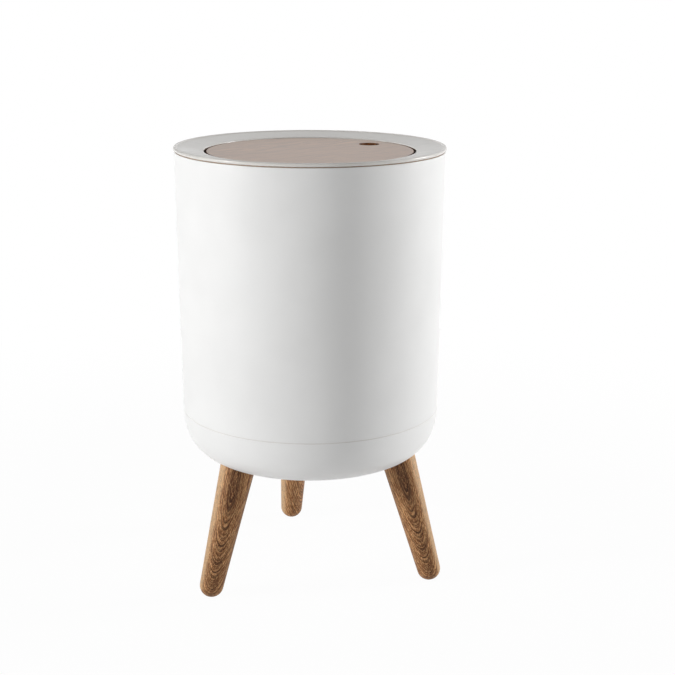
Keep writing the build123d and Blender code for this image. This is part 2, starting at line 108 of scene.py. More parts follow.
# %% Sums
def calc(tree, operation, *values):
    """A Math node on sockets or numbers."""
    return add(tree, "ShaderNodeMath", dict(enumerate(values)), operation=operation).outputs[0]


def calc_vector(tree, operation, *values):
    """A Vector Math node, which gives a number for a length or a dot product."""
    node = add(tree, "ShaderNodeVectorMath", dict(enumerate(values)), operation=operation)
    gives_number = operation in ("LENGTH", "DOT_PRODUCT")
    return node.outputs["Value" if gives_number else "Vector"]


def part_of(tree, vector, axis):
    """One of a vector's three numbers."""
    return add(tree, "ShaderNodeSeparateXYZ", {0: vector}).outputs[axis]


def round_distance(tree, place, middle):
    """Distance from an upright line through a point."""
    off = calc_vector(tree, "SUBTRACT", place, middle)
    return calc_vector(tree, "LENGTH", calc_vector(tree, "MULTIPLY", off, (1, 1, 0)))


# %% Ramps, noise and colours
MIX_COLOURS = (6, 7)  # the two colour inputs of a Mix node
MIX_RESULT = 2  # its colour output


def blend_colours(tree, factor, first, second):
    """Mixes two colours by a factor of 0 to 1."""
    inputs = {"Factor": factor, MIX_COLOURS[0]: first, MIX_COLOURS[1]: second}
    return add(tree, "ShaderNodeMix", inputs, data_type="RGBA").outputs[MIX_RESULT]


def ramp(tree, value, low, high, start=0.0, end=1.0):
    """Maps low..high smoothly onto start..end."""
    inputs = {"Value": value, "From Min": low, "From Max": high, "To Min": start, "To Max": end}
    return add(tree, "ShaderNodeMapRange", inputs, interpolation_type="SMOOTHSTEP").outputs[0]


def noise(tree, vector, scale=1.0, detail=2.0):
    """A Noise texture's value at a scale in cycles per unit."""
    inputs = {"Vector": vector, "Scale": scale, "Detail": detail}
    return add(tree, "ShaderNodeTexNoise", inputs).outputs["Fac"]


def srgb(red, green, blue):
    """A colour written as screen values of 0 to 255, as the linear colour that a shader takes."""
    return tuple(((c / 255 + 0.055) / 1.055) ** 2.4 for c in (red, green, blue)) + (1.0,)


WHITE = srgb(255, 255, 255)
print("screen grey 128 is", round(srgb(128, 128, 128)[0], 3), "of white in a shader")

# %% [markdown]
# ## Light
#
# Soft studio light: a dim sky all round and five square softboxes. The pair at the sides stands
# low, and leaves the middle of the barrel darker than its edges, which shows that it is round.
# One at the front fills in, one behind lights the far side, and one overhead lights the lid. A
# single large lamp would be simpler, but it would make the barrel look flat. The sky is white
# where the camera or a glass sees it, and dimmer for everything that it lights. A gloss sees a
# white backdrop behind the bin and a dimmer room behind the camera, so that dark wood keeps its
# depth, and the lamp behind is hidden from gloss, so that the lid doesn't mirror it.

# %% Sky
SKY_LIGHT = 0.1
ROOM_IN_GLOSS = 0.3  # the room behind the camera, against 1 for the backdrop
BACKDROP_HALF = 0.15  # how far the backdrop's edge is spread, as the cosine to its middle

world = bpy.data.worlds.new("studio")
world.use_nodes = True
scene.world = world
sky = world.node_tree
sky.nodes.clear()
path = add(sky, "ShaderNodeLightPath").outputs
backwards = (-Vector((CAMERA_PLACE[0], CAMERA_PLACE[1], 0.0))).normalized()
way = add(sky, "ShaderNodeTexCoord").outputs["Generated"]
facing = calc_vector(sky, "DOT_PRODUCT", way, backwards)
glossed = ramp(sky, facing, -BACKDROP_HALF, BACKDROP_HALF, ROOM_IN_GLOSS, 1.0)
glossed = calc(sky, "MULTIPLY", glossed, path["Is Glossy Ray"])
seen = calc(sky, "MAXIMUM", path["Is Camera Ray"], path["Is Transmission Ray"])
seen = calc(sky, "MAXIMUM", seen, glossed)
level = calc(sky, "MAXIMUM", seen, SKY_LIGHT)
white_sky = add(sky, "ShaderNodeBackground", {"Color": WHITE, "Strength": level})
add(sky, "ShaderNodeOutputWorld", {"Surface": white_sky.outputs[0]})
print("sky lights at", SKY_LIGHT)

# %% Softboxes
BIN_MIDDLE = Vector((0.0, 0.0, 0.2))
TO_CAMERA = math.degrees(math.atan2(CAMERA_PLACE[1], CAMERA_PLACE[0]))


def softbox(name, azimuth, elevation, distance, size, power, mirrored=True):
    """A square lamp aimed at the bin's middle, at an azimuth from +X towards +Y."""
    lamp = bpy.data.lights.new(name, "AREA")
    lamp.shape = "SQUARE"
    lamp.size = size
    lamp.energy = power
    box = bpy.data.objects.new(name, lamp)
    around, above = math.radians(azimuth), math.radians(elevation)
    away = Vector((math.cos(around), math.sin(around), 0.0)) * math.cos(above)
    away.z = math.sin(above)
    box.location = BIN_MIDDLE + away * distance
    box.rotation_euler = away.to_track_quat("Z", "Y").to_euler()
    box.visible_camera = False
    box.visible_glossy = mirrored
    scene.collection.objects.link(box)
    print(name, "at", [round(v, 2) for v in box.location])


# %% Place the softboxes
SIDE = {"elevation": 13, "distance": 2.2, "size": 0.5}
BACK = {"elevation": 10, "distance": 2.2, "size": 1.2, "mirrored": False}

softbox("softbox_left", TO_CAMERA - 72, power=28, **SIDE)
softbox("softbox_right", TO_CAMERA + 102, power=31, **SIDE)
softbox("softbox_back", TO_CAMERA + 180, power=7, **BACK)
softbox("softbox_front", TO_CAMERA, elevation=24, distance=1.8, size=1.2, power=4.9)
softbox("softbox_top", TO_CAMERA, elevation=90, distance=1.6, size=0.8, power=1.5)

# %% [markdown]
# ## Floor
#
# The floor is one pale sheet. It has to look as white as the sky behind it and still keep the
# bin's soft shadow. Stronger lamps would whiten it, but they would bleach the bin as well. So
# where the camera sees the floor, most of its shader gives plain white and the rest is an
# ordinary matt surface. Far from the bin it is all white, so no horizon shows.


# %% Make an object from a finished bmesh
def new_object(name, shape, material):
    """An object whose mesh is a bmesh, which is freed, with one material."""
    mesh = bpy.data.meshes.new(name)
    shape.to_mesh(mesh)
    shape.free()
    mesh.materials.append(material)
    made = bpy.data.objects.new(name, mesh)
    scene.collection.objects.link(made)
    print(name, "has", len(mesh.polygons), "faces")
    return made


# %% Floor finish
FLOOR_GREY = (0.9, 0.9, 0.9, 1.0)
FLOOR_WHITE_SHARE = 0.965  # close to the bin, where its shadow falls
FLOOR_NEAR = 0.3
FLOOR_FAR = 0.9

pale = bpy.data.materials.new("pale_floor")
pale.use_nodes = True
tree = pale.node_tree
tree.nodes.clear()
path = add(tree, "ShaderNodeLightPath").outputs
seen = calc(tree, "MAXIMUM", path["Is Camera Ray"], path["Is Glossy Ray"])
seen = calc(tree, "MAXIMUM", seen, path["Is Transmission Ray"])
far = calc_vector(tree, "LENGTH", add(tree, "ShaderNodeTexCoord").outputs["Object"])
white_share = ramp(tree, far, FLOOR_NEAR, FLOOR_FAR, FLOOR_WHITE_SHARE, 1.0)
white_share = calc(tree, "MULTIPLY", seen, white_share)
matt = add(tree, "ShaderNodeBsdfDiffuse", {"Color": FLOOR_GREY}).outputs[0]
plain_white = add(tree, "ShaderNodeEmission", {"Color": WHITE, "Strength": 1.0}).outputs[0]
both = add(tree, "ShaderNodeMixShader", {0: white_share, 1: matt, 2: plain_white})
add(tree, "ShaderNodeOutputMaterial", {"Surface": both.outputs[0]})
print("the floor keeps", round(1 - FLOOR_WHITE_SHARE, 3), "of the shadow close to the bin")

# %% Floor shape
FLOOR_REACH = 6.0

sheet = bmesh.new()
bmesh.ops.create_grid(sheet, x_segments=1, y_segments=1, size=FLOOR_REACH)
new_object("floor", sheet, pale)

# %% [markdown]
# ## Shared effects
#
# Several finishes need the same effect: two woods share one grain, and four plastics share one
# moulded skin. Each effect is a node group with named inputs and outputs, made once and placed in
# each material with its own values. The nodes could be copied into each material instead, but a
# change would then have to be made many times. A group gives only masks, values and heights. The
# shader stays in the material, where the colours are mixed.


# %% Start and end a node group
def start_group(name, inputs, outputs):
    """A node group with inputs {label: (socket type, value)} and float outputs."""
    tree = bpy.data.node_groups.new(name, "ShaderNodeTree")
    for label, (kind, value) in inputs.items():
        socket = tree.interface.new_socket(label, in_out="INPUT", socket_type=kind)
        if value is not None:
            socket.default_value = value
    for label in outputs:
        tree.interface.new_socket(label, in_out="OUTPUT", socket_type="NodeSocketFloat")
    return tree, tree.nodes.new("NodeGroupInput").outputs


def end_group(tree, values):
    """Links a group's values, given as {label: socket}, to its outputs."""
    given = tree.nodes.new("NodeGroupOutput").inputs
    for label, value in values.items():
        tree.links.new(value, given[label])
    print(tree.name, "has", len(tree.nodes), "nodes")


def stretched(tree, vector, across, along):
    """A vector divided by one size across X and Y and another along Z, for a long pattern."""
    sizes = add(tree, "ShaderNodeCombineXYZ", {0: across, 1: across, 2: along}).outputs[0]
    return calc_vector(tree, "DIVIDE", vector, sizes)


# %% [markdown]
# ### Wood grain
#
# A tree grows a ring a year round its pith, so the grain that a cut shows is the distance from
# the pith, taken ring by ring. A turned leg whose pith leans out of it shows nested arches on
# that side and straight lines on the others, and the same rule gives a flat board its streaks.
# Painting arches by hand, or bending a wave texture, would match only one side. The group takes a
# place in millimetres in the tree's own frame, with the pith along Z. Bend curves the pith
# towards Y, because a tree is seldom straight, and a slow noise makes it wander.

# %% Wood grain: the distance from the pith
WANDER_SIZE = (14.0, 38.0)  # millimetres across and along the pith

wood_inputs = {
    "Vector": ("NodeSocketVector", None),
    "Ring Width": ("NodeSocketFloat", 1.2),
    "Wander": ("NodeSocketFloat", 2.0),
    "Bend": ("NodeSocketFloat", 0.0),
    "Fibre Width": ("NodeSocketFloat", 0.5),
    "Fibre Length": ("NodeSocketFloat", 8.0),
}
wood_outputs = ("Rings", "Fibre", "Streak", "Pores", "Radius")
wood_grain, taken = start_group("wood_grain", wood_inputs, wood_outputs)
tree = wood_grain
height = part_of(tree, taken["Vector"], "Z")
bent = calc(tree, "MULTIPLY", taken["Bend"], calc(tree, "MULTIPLY", height, height))
bent = add(tree, "ShaderNodeCombineXYZ", {1: bent}).outputs[0]
straight = calc_vector(tree, "SUBTRACT", taken["Vector"], bent)
slow_inputs = {"Vector": stretched(tree, straight, *WANDER_SIZE), "Scale": 1.0, "Detail": 1.0}
wander = add(tree, "ShaderNodeTexNoise", slow_inputs).outputs["Color"]
wander = calc_vector(tree, "SUBTRACT", wander, (0.5, 0.5, 0.5))
scaled = {0: wander, "Scale": taken["Wander"]}
wander = add(tree, "ShaderNodeVectorMath", scaled, operation="SCALE").outputs[0]
grown = calc_vector(tree, "ADD", straight, wander)
radius = round_distance(tree, grown, (0.0, 0.0, 0.0))
print("the pith wanders over", WANDER_SIZE, "mm")

# %% Wood grain: fibres, streaks and pores
STREAK_STRETCH = (2.6, 2.2)  # against a fibre's width and length
PORE_STRETCH = (0.7, 0.35)
PORE_RANGE = (0.6, 0.72)  # of the noise, from no pore to a full one


def fibre_noise(width_share, length_share, detail):
    """A noise as long and narrow as a fibre, times a share of its width and length."""
    width = calc(tree, "MULTIPLY", taken["Fibre Width"], width_share)
    length = calc(tree, "MULTIPLY", taken["Fibre Length"], length_share)
    return noise(tree, stretched(tree, grown, width, length), detail=detail)


fibre = fibre_noise(1.0, 1.0, detail=2.0)
streak = fibre_noise(*STREAK_STRETCH, detail=2.0)
pores = ramp(tree, fibre_noise(*PORE_STRETCH, detail=1.0), *PORE_RANGE)
print("a streak is", STREAK_STRETCH[0], "times as wide as a fibre")

# %% Wood grain: rings
LEAN_RHYTHM = 0.4  # how fast good and lean years take turns, in cycles per ring
LEAN_SHIFT = 1.6  # rings that they push together or apart
FRAY = 0.5  # how far fibres fray a ring's edge, in rings
LATE_WOOD = (0.3, 0.7)  # the part of a year over which its wood darkens
YEAR_END = (0.86, 1.0)  # and the part over which the next pale wood starts
FAINTEST_RING = 0.5

years = calc(tree, "DIVIDE", radius, taken["Ring Width"])
rhythm = {"W": calc(tree, "MULTIPLY", years, LEAN_RHYTHM)}
lean = add(tree, "ShaderNodeTexNoise", rhythm, noise_dimensions="1D").outputs["Fac"]
years = calc(tree, "ADD", years, calc(tree, "MULTIPLY", lean, LEAN_SHIFT))
years = calc(tree, "ADD", years, calc(tree, "MULTIPLY", fibre, FRAY))
season = calc(tree, "FRACT", years)
late = ramp(tree, season, *LATE_WOOD)
late = calc(tree, "MULTIPLY", late, ramp(tree, season, *YEAR_END, 1.0, 0.0))
year = {"W": calc(tree, "FLOOR", years)}
harvest = add(tree, "ShaderNodeTexWhiteNoise", year, noise_dimensions="1D").outputs["Value"]
depth = calc(tree, "MULTIPLY_ADD", harvest, 1 - FAINTEST_RING, FAINTEST_RING)
rings = calc(tree, "MULTIPLY", late, depth)
end_group(tree, dict(zip(wood_outputs, (rings, fibre, streak, pores, radius))))

# %% [markdown]
# ### Moulded skin
#
# Injection-moulded plastic isn't perfectly smooth. The tool's fine spark finish gives it a soft
# texture, the flow of the melt leaves faint broad clouds, and hands leave it a little glossier
# here and there. The texture is far too fine to model, so the group gives it as a height for a
# bump, and both of the others as values.

# %% Moulded skin group
HANDLED_SCALE = 2.7  # handled patches, against the clouds
HANDLED_RANGE = (0.42, 0.72)

skin_inputs = {
    "Vector": ("NodeSocketVector", None),
    "Grain Size": ("NodeSocketFloat", 0.0006),
    "Cloud Size": ("NodeSocketFloat", 0.06),
}
skin_outputs = ("Height", "Clouds", "Handling")
moulded_skin, taken = start_group("moulded_skin", skin_inputs, skin_outputs)
tree = moulded_skin
fine = calc(tree, "DIVIDE", 1.0, taken["Grain Size"])
broad = calc(tree, "DIVIDE", 1.0, taken["Cloud Size"])
grain = noise(tree, taken["Vector"], fine, detail=3.0)
clouds = noise(tree, taken["Vector"], broad)
handled_scale = calc(tree, "MULTIPLY", broad, HANDLED_SCALE)
handled = ramp(tree, noise(tree, taken["Vector"], handled_scale, detail=4.0), *HANDLED_RANGE)
end_group(tree, dict(zip(skin_outputs, (grain, clouds, handled))))

# %% [markdown]
# ### Drawn metal
#
# Wire and bar are pulled through a die, which leaves fine lines along them, and plating or
# handling dulls them in patches. An anisotropic shader could stretch the gloss, but it would leave
# no lines to see close up. The group stretches one noise along a chosen axis for the lines and
# keeps another round for the patches.

# %% Drawn metal group
metal_inputs = {
    "Vector": ("NodeSocketVector", None),
    "Line Size": ("NodeSocketVector", (0.004, 0.0002, 0.0002)),
    "Patch Size": ("NodeSocketFloat", 0.004),
}
metal_outputs = ("Lines", "Patches")
drawn_metal, taken = start_group("drawn_metal", metal_inputs, metal_outputs)
tree = drawn_metal
lines = noise(tree, calc_vector(tree, "DIVIDE", taken["Vector"], taken["Line Size"]), detail=3.0)
patches = noise(tree, taken["Vector"], calc(tree, "DIVIDE", 1.0, taken["Patch Size"]))
end_group(tree, dict(zip(metal_outputs, (lines, patches))))

# %% [markdown]
# ## Materials
#
# Each material starts as a Principled shader whose plain values are set on its own sockets. Its
# patterns read Object coordinates: every solid's object sits at the origin, so these are places
# on the bin in metres, and a pattern runs on from one solid to the next.


# %% Start, finish and use a material
def start_material(name, **fixed):
    """A material, its tree and shader, and the place that its patterns read."""
    material = bpy.data.materials.new(name)
    material.use_nodes = True
    tree = material.node_tree
    shader = tree.nodes["Principled BSDF"]
    for socket, value in fixed.items():
        shader.inputs[socket.replace("_", " ")].default_value = value
    return material, tree, shader, add(tree, "ShaderNodeTexCoord").outputs["Object"]


def drive(tree, shader, **values):
    """Links patterns to the shader's inputs."""
    for socket, value in values.items():
        tree.links.new(value, shader.inputs[socket.replace("_", " ")])


def bump(tree, height, strength, depth):
    """A normal that follows a height, whose full depth is in metres."""
    inputs = {"Height": height, "Strength": strength, "Distance": depth}
    return add(tree, "ShaderNodeBump", inputs).outputs["Normal"]


def dress(material, *nodes):
    """Gives solids of the frame a material in place of their plain one."""
    for node in nodes:
        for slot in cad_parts[node].material_slots:
            slot.material = material
    print(material.name, "on", ", ".join(nodes))


# %% [markdown]
# ## Plastics
#
# The barrel and the bowl are a white plastic with a satin tool finish. The lid and the tray under
# the wood are a glossier grade of it, a warmer white a little darker than the barrel's as painted
# shade for the lid's top, and the bag ring and the latch are inner pieces in plainer grades. One
# function makes them all, because they differ only in colour, gloss and grain. Each plastic is
# darkened in the narrow gaps between parts as painted shade, browner beside the wooden panel. It
# could be painted on the mesh, but all the gaps are rings round the bin's axis, so two radii and
# two heights say exactly where each one is.

# %% Where painted shade darkens the gaps
LID_SEAM = (0.1150, 0.1172, 0.3860, 0.3869)  # inner and outer radius, low and high Z
BOWL_SEAM = (0.1133, 0.11455, 0.1554, 0.1565)
PANEL_GAP = (0.0880, 0.0926, 0.3740, 0.3852)
GAP_SOFT = 0.0001  # width of the painted shade's soft edge
# painted shade for the lid and bowl seams, and a browner painted shade for the gap beside the panel
SEAM_SHADE = srgb(168, 146, 124)
PANEL_GAP_SHADE = srgb(146, 96, 60)
SHADED_GAPS = (  # each with its painted shade's colour and how much it covers
    (LID_SEAM, SEAM_SHADE, 1.0),
    (BOWL_SEAM, SEAM_SHADE, 0.3),
    (PANEL_GAP, PANEL_GAP_SHADE, 1.0),
)


def gap_shade_mask(tree, place, inner, outer, low, high):
    """Painted shade: 1 in a ring-shaped gap, and 0 elsewhere."""
    height = part_of(tree, place, "Z")
    reach = round_distance(tree, place, (0.0, 0.0, 0.0))
    shaded = 1.0
    for value, start, end in ((height, low, high), (reach, inner, outer)):
        shaded = calc(tree, "MULTIPLY", shaded, ramp(tree, value, start, start + GAP_SOFT))
        past_end = ramp(tree, value, end, end + GAP_SOFT, 1.0, 0.0)
        shaded = calc(tree, "MULTIPLY", shaded, past_end)
    return shaded


print("dust in", len(SHADED_GAPS), "gaps")

# %% Moulded plastic
PLASTIC_IOR = 1.49
CLOUD_RANGE = (0.35, 0.65)
UNTOUCHED = 0.03  # more roughness where hands never reach
POLISHED = -0.04  # and less where they often do
SKIN_DEPTH = 0.0002


def plastic(name, colour, shade, roughness, grain_size=0.0006, relief=0.03):
    """Satin moulded plastic: faint clouds of a shade, uneven gloss and a fine texture."""
    material, tree, shader, place = start_material(name, IOR=PLASTIC_IOR)
    inputs = {"Vector": place, "Grain Size": grain_size}
    skin = add(tree, "ShaderNodeGroup", inputs, node_tree=moulded_skin).outputs
    tint = blend_colours(tree, ramp(tree, skin["Clouds"], *CLOUD_RANGE), shade, colour)
    # painted shade in the narrow gaps between parts
    for gap, painted_shade, cover in SHADED_GAPS:
        shaded = calc(tree, "MULTIPLY", gap_shade_mask(tree, place, *gap), cover)
        tint = blend_colours(tree, shaded, tint, painted_shade)
    from_to = (roughness + UNTOUCHED, roughness + POLISHED)
    gloss = ramp(tree, skin["Handling"], 0.0, 1.0, *from_to)
    normal = bump(tree, skin["Height"], relief, SKIN_DEPTH)
    drive(tree, shader, Base_Color=tint, Roughness=gloss, Normal=normal)
    return material


# %% The four plastics
white = plastic("white_satin_plastic", srgb(247, 247, 246), srgb(244, 244, 243), roughness=0.4)
# a warmer white a little darker than the barrel's, as painted shade for the lid's top, which takes
# less light
lid_shaded_colours = (srgb(230, 227, 222), srgb(226, 223, 218))
lid_white = plastic("lid_satin_plastic", *lid_shaded_colours, roughness=0.22, relief=0.015)
ring_grey = plastic("bag_ring_plastic", srgb(150, 151, 152), srgb(141, 142, 143), roughness=0.48)
nylon_colours = (srgb(214, 213, 206), srgb(203, 202, 194))
natural = plastic("latch_nylon", *nylon_colours, roughness=0.42, grain_size=0.0004)
dress(white, "barrel", "base_bowl")
dress(lid_white, "lid_ring", "flap_tray")
dress(ring_grey, "bag_ring")
dress(natural, "latch_housing", "latch_jaws", "latch_plunger", "striker")

# %% [markdown]
# ## Turned legs
#
# Each leg is turned from a walnut blank cut near the heart of the tree. The heart leans out of
# the leg towards its tip, so the side that faces it shows arches one inside the other that open
# upwards, with the dark heart at the top. A Mapping node gives each leg the tree's frame: its
# origin is where the heart leaves the leg, and Z runs along the heart. An Empty could carry that
# frame, but a material that names another object loses it when the model is exported. Part of
# each leg is pale sapwood, from the outside of the tree, put on the side that a side lamp lights
# as a painted highlight, and the middle of the leg between its lit sides gets painted shade.

# %% A leg's axis and sides
LEG_AZIMUTHS = {"leg_rear": 90.0, "leg_left": 210.0, "leg_right": 330.0}
LEG_TIP_REACH = 0.1143  # from the bin's axis to the middle of a leg's domed tip
LEG_TIP_Z = 0.0101
LEG_TILT = 16.54  # degrees


def direction(azimuth):
    """Level direction at an azimuth."""
    return Vector((math.cos(math.radians(azimuth)), math.sin(math.radians(azimuth)), 0.0))


def up_the_leg(leg):
    """Direction of a leg's axis, upwards."""
    tilt = math.radians(LEG_TILT)
    return Vector((0, 0, math.cos(tilt))) - direction(LEG_AZIMUTHS[leg]) * math.sin(tilt)


def leg_side(leg, azimuth):
    """Direction square to the leg's axis, on the side at an azimuth."""
    side, up_leg = direction(azimuth), up_the_leg(leg)
    return (side - up_leg * side.dot(up_leg)).normalized()


def leg_tip(leg):
    """Middle of a leg's domed tip."""
    return direction(LEG_AZIMUTHS[leg]) * LEG_TIP_REACH + Vector((0, 0, LEG_TIP_Z))


for leg in LEG_AZIMUTHS:
    print(leg, "has its tip at", [round(v, 4) for v in leg_tip(leg)])

# %% The tree's frame in a leg
HEART_FACES = {"leg_rear": 140.0, "leg_left": 140.0, "leg_right": 205.0}  # azimuth it leans to
HEART_UP_LEG = 0.095  # from the leg's tip to where the heart leaves it
HEART_OFF_AXIS = 0.0146
HEART_SLOPE = 0.1  # metres sideways for each metre of the leg


def heart_frame(leg):
    """Place and turn of the tree's frame: Z along the heart, Y towards the side it leans to."""
    faces, up_leg = leg_side(leg, HEART_FACES[leg]), up_the_leg(leg)
    leaves = leg_tip(leg) + up_leg * HEART_UP_LEG + faces * HEART_OFF_AXIS
    along = (up_leg - faces * HEART_SLOPE).normalized()
    side = faces.cross(along).normalized()
    turn = Matrix((side, along.cross(side), along)).transposed()
    return leaves, turn.to_euler()


for leg in LEG_AZIMUTHS:
    print("the heart leaves", leg, "at", [round(v, 4) for v in heart_frame(leg)[0]])

# %% Sapwood as a painted highlight
SAPWOOD_HIGHLIGHT_FACES = {"leg_rear": 50.0, "leg_left": 230.0, "leg_right": 60.0}  # azimuth it is on, the side that a side lamp lights, so that it is also a painted highlight
SAPWOOD_HIGHLIGHT_RANGE = (0.58, 0.86)  # how far out it starts and is full, as a share of a radius
LEG_TIP_R = 0.0105  # that radius, at the leg's tip
SAPWOOD_HIGHLIGHT_WIDENING = 0.0329  # its growth up the leg: less than the leg's, so the sapwood and its painted highlight get broader


def sapwood_highlight_mask(tree, place, leg):
    """1 on the side of a leg that was cut from the tree's pale outer wood, which is the side that a
    side lamp lights, as a painted highlight, and 0 elsewhere.
    """
    from_tip = calc_vector(tree, "SUBTRACT", place, leg_tip(leg))
    height = calc_vector(tree, "DOT_PRODUCT", from_tip, up_the_leg(leg))
    out = calc_vector(tree, "DOT_PRODUCT", from_tip, leg_side(leg, SAPWOOD_HIGHLIGHT_FACES[leg]))
    radius = calc(tree, "MULTIPLY_ADD", height, SAPWOOD_HIGHLIGHT_WIDENING, LEG_TIP_R)
    return ramp(tree, calc(tree, "DIVIDE", out, radius), *SAPWOOD_HIGHLIGHT_RANGE)


print("sapwood at a leg's tip starts", round(SAPWOOD_HIGHLIGHT_RANGE[0] * LEG_TIP_R * 1000, 1), "mm out")

# %% [markdown]
# ### Walnut
#
# The legs and the panel use the wood grain in the same steps: mix two browns by the streaks, then
# darken the rings and the pores. Dense rings stand up a little and pores go down, which a bump
# shows. The legs have more contrast, and get the heart, single fibres, the sapwood as a painted
# highlight on a lit side and painted shade down the middle as well.

# %% Wood in a tree's frame
MILLIMETRE = 0.001
WOOD_IOR = 1.5
RING_RISE = 0.3  # how far a dense ring stands up, against a pore's depth of 1


def wood_in_tree(tree, place, origin, turn, sizes):
    """The wood grain's outputs, and the place in millimetres in the tree's frame."""
    frame_inputs = {"Vector": place, "Location": origin, "Rotation": turn}
    frame_inputs["Scale"] = [MILLIMETRE] * 3
    in_tree = add(tree, "ShaderNodeMapping", frame_inputs, vector_type="TEXTURE").outputs[0]
    inputs = {"Vector": in_tree, **sizes}
    return add(tree, "ShaderNodeGroup", inputs, node_tree=wood_grain).outputs, in_tree


def wood_height(tree, grain):
    """Height of the wood's surface, with rings that stand up and pores that go down."""
    return calc(tree, "SUBTRACT", calc(tree, "MULTIPLY", grain["Rings"], RING_RISE), grain["Pores"])


print("a ring rises", RING_RISE, "of a pore's depth")

# %% Colours and sizes of the legs' walnut
LEG_GRAIN = {"Ring Width": 1.45, "Wander": 1.8, "Fibre Width": 0.5, "Fibre Length": 6.0}
LEG_GRAIN["Bend"] = 0.0015  # per millimetre, so the heart leans out faster towards the tip
LIGHT_STREAK = srgb(232, 178, 124)
BROWN_WOOD = srgb(168, 114, 72)
DARK_LINE = srgb(42, 17, 6)
# dark heart, also the painted shade down the middle of each leg
HEART_WOOD_AND_SHADE = srgb(82, 43, 22)
# pale sapwood, also the painted highlight on a leg's lit side
SAP_WOOD_HIGHLIGHT = srgb(226, 192, 152)

STREAK_RANGE = (0.42, 0.62)  # the streaks' noise, from brown to light
HEART_RANGE = (1.0, 11.0, 0.85, 0.0)  # millimetres from the heart, and how dark it is there
MIDDLE_SHADE_RANGE = (1.5, 7.0, 0.4, 0.0)  # painted shade down the middle of the leg between its lit sides: millimetres from the plane in which the heart leans, and how dark it is there
LIGHT_FIBRE = (0.5, 0.64, 0.0, 0.55)  # the fibres' noise, and how much a fibre covers there
DARK_FIBRE = (0.36, 0.46, 0.4, 0.0)
SAP_HIGHLIGHT_SHARE = 0.8  # how much of the wood's colour the sapwood and its painted highlight cover
SAP_HIGHLIGHT_RINGS = 0.35  # how strong the rings still are under the sapwood's painted highlight
LEG_PORES = 0.6  # how dark a pore is
LEG_GLOSS = (0.52, 0.44)  # roughness between the rings and on them
LEG_RELIEF = (0.25, 0.0003)  # strength and depth
print("a leg's rings are", LEG_GRAIN["Ring Width"], "mm apart")


# %% Walnut for the legs
def walnut(leg):
    """Satin walnut for a leg, with the tree's frame placed and turned in it."""
    fixed = {"IOR": WOOD_IOR, "Specular_IOR_Level": 0.2}
    material, tree, shader, place = start_material("walnut_" + leg, **fixed)
    grain, in_tree = wood_in_tree(tree, place, *heart_frame(leg), LEG_GRAIN)
    streaks = ramp(tree, grain["Streak"], *STREAK_RANGE)
    colour = blend_colours(tree, streaks, BROWN_WOOD, LIGHT_STREAK)
    off_middle = calc(tree, "ABSOLUTE", part_of(tree, in_tree, "X"))
    heart_and_shade = ramp(tree, grain["Radius"], *HEART_RANGE)
    # painted shade down the middle of the leg, between its lit sides, joins the heart's darkness
    heart_and_shade = calc(tree, "MAXIMUM", heart_and_shade, ramp(tree, off_middle, *MIDDLE_SHADE_RANGE))
    colour = blend_colours(tree, heart_and_shade, colour, HEART_WOOD_AND_SHADE)
    # sapwood on the side that a side lamp lights, as a painted highlight
    sapwood_highlight = sapwood_highlight_mask(tree, place, leg)
    colour = blend_colours(tree, calc(tree, "MULTIPLY", sapwood_highlight, SAP_HIGHLIGHT_SHARE), colour, SAP_WOOD_HIGHLIGHT)
    colour = blend_colours(tree, ramp(tree, grain["Fibre"], *LIGHT_FIBRE), colour, LIGHT_STREAK)
    colour = blend_colours(tree, ramp(tree, grain["Fibre"], *DARK_FIBRE), colour, DARK_LINE)
    lines = calc(tree, "MULTIPLY", grain["Rings"], ramp(tree, sapwood_highlight, 0.0, 1.0, 1.0, SAP_HIGHLIGHT_RINGS))
    colour = blend_colours(tree, lines, colour, DARK_LINE)
    pores = calc(tree, "MULTIPLY", grain["Pores"], LEG_PORES)
    colour = blend_colours(tree, pores, colour, DARK_LINE)
    gloss = ramp(tree, grain["Rings"], 0.0, 1.0, *LEG_GLOSS)
    normal = bump(tree, wood_height(tree, grain), *LEG_RELIEF)
    drive(tree, shader, Base_Color=colour, Roughness=gloss, Normal=normal)
    return material


for leg in LEG_AZIMUTHS:
    dress(walnut(leg), leg)

# %% [markdown]
# ## Flap panel
#
# The panel is a disc cut by laser from a lacquered walnut board. The heart of its tree runs under
# the board, 75 mm down, so the grain is long quiet streaks. The laser has browned the cut edge
# and the round mark, which is engraved a quarter of a millimetre deep. The cut edge's dark brown
# is partly that char and partly painted shade for the gap round the panel. The lacquer is a clear
# coat, so at a low angle the panel looks much paler than its wood. The dark edge has none.

# %% Sizes and colours of the panel
PANEL_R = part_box("flap_panel")[1].x
PANEL_TOP_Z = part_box("flap_panel")[1].z
BOARD_HEART = (0.035, 0.0, 0.31)
BOARD_TURN = (math.radians(-90), 0.0, 0.0)  # the heart runs along Y
BOARD_GRAIN = {"Ring Width": 1.6, "Wander": 4.0, "Fibre Width": 0.45, "Fibre Length": 12.0}
BOARD_STREAK = srgb(168, 124, 84)
BOARD_BROWN = srgb(144, 102, 69)
BOARD_LINE = srgb(98, 64, 40)
# dark brown of the laser's char, and painted shade for the gap round the panel
BURNT_AND_SHADE = srgb(78, 44, 22)

BOARD_STREAKS = (0.36, 0.62)
BOARD_RINGS = 0.5  # how dark a ring is
BOARD_PORES = 0.4
BOARD_ROUGHNESS = 0.45
LACQUER = 0.5  # weight of the clear coat
BOARD_RELIEF = (0.1, 0.0002)  # strength and depth
EDGE_SOFT = 0.00015
EDGE_BURN_AND_SHADE = 0.0011  # how far the laser's char and the painted shade of the gap reach in from the cut edge across the top
print("panel radius", round(PANEL_R * 1000, 2), "mm, top at", round(PANEL_TOP_Z * 1000, 2), "mm")

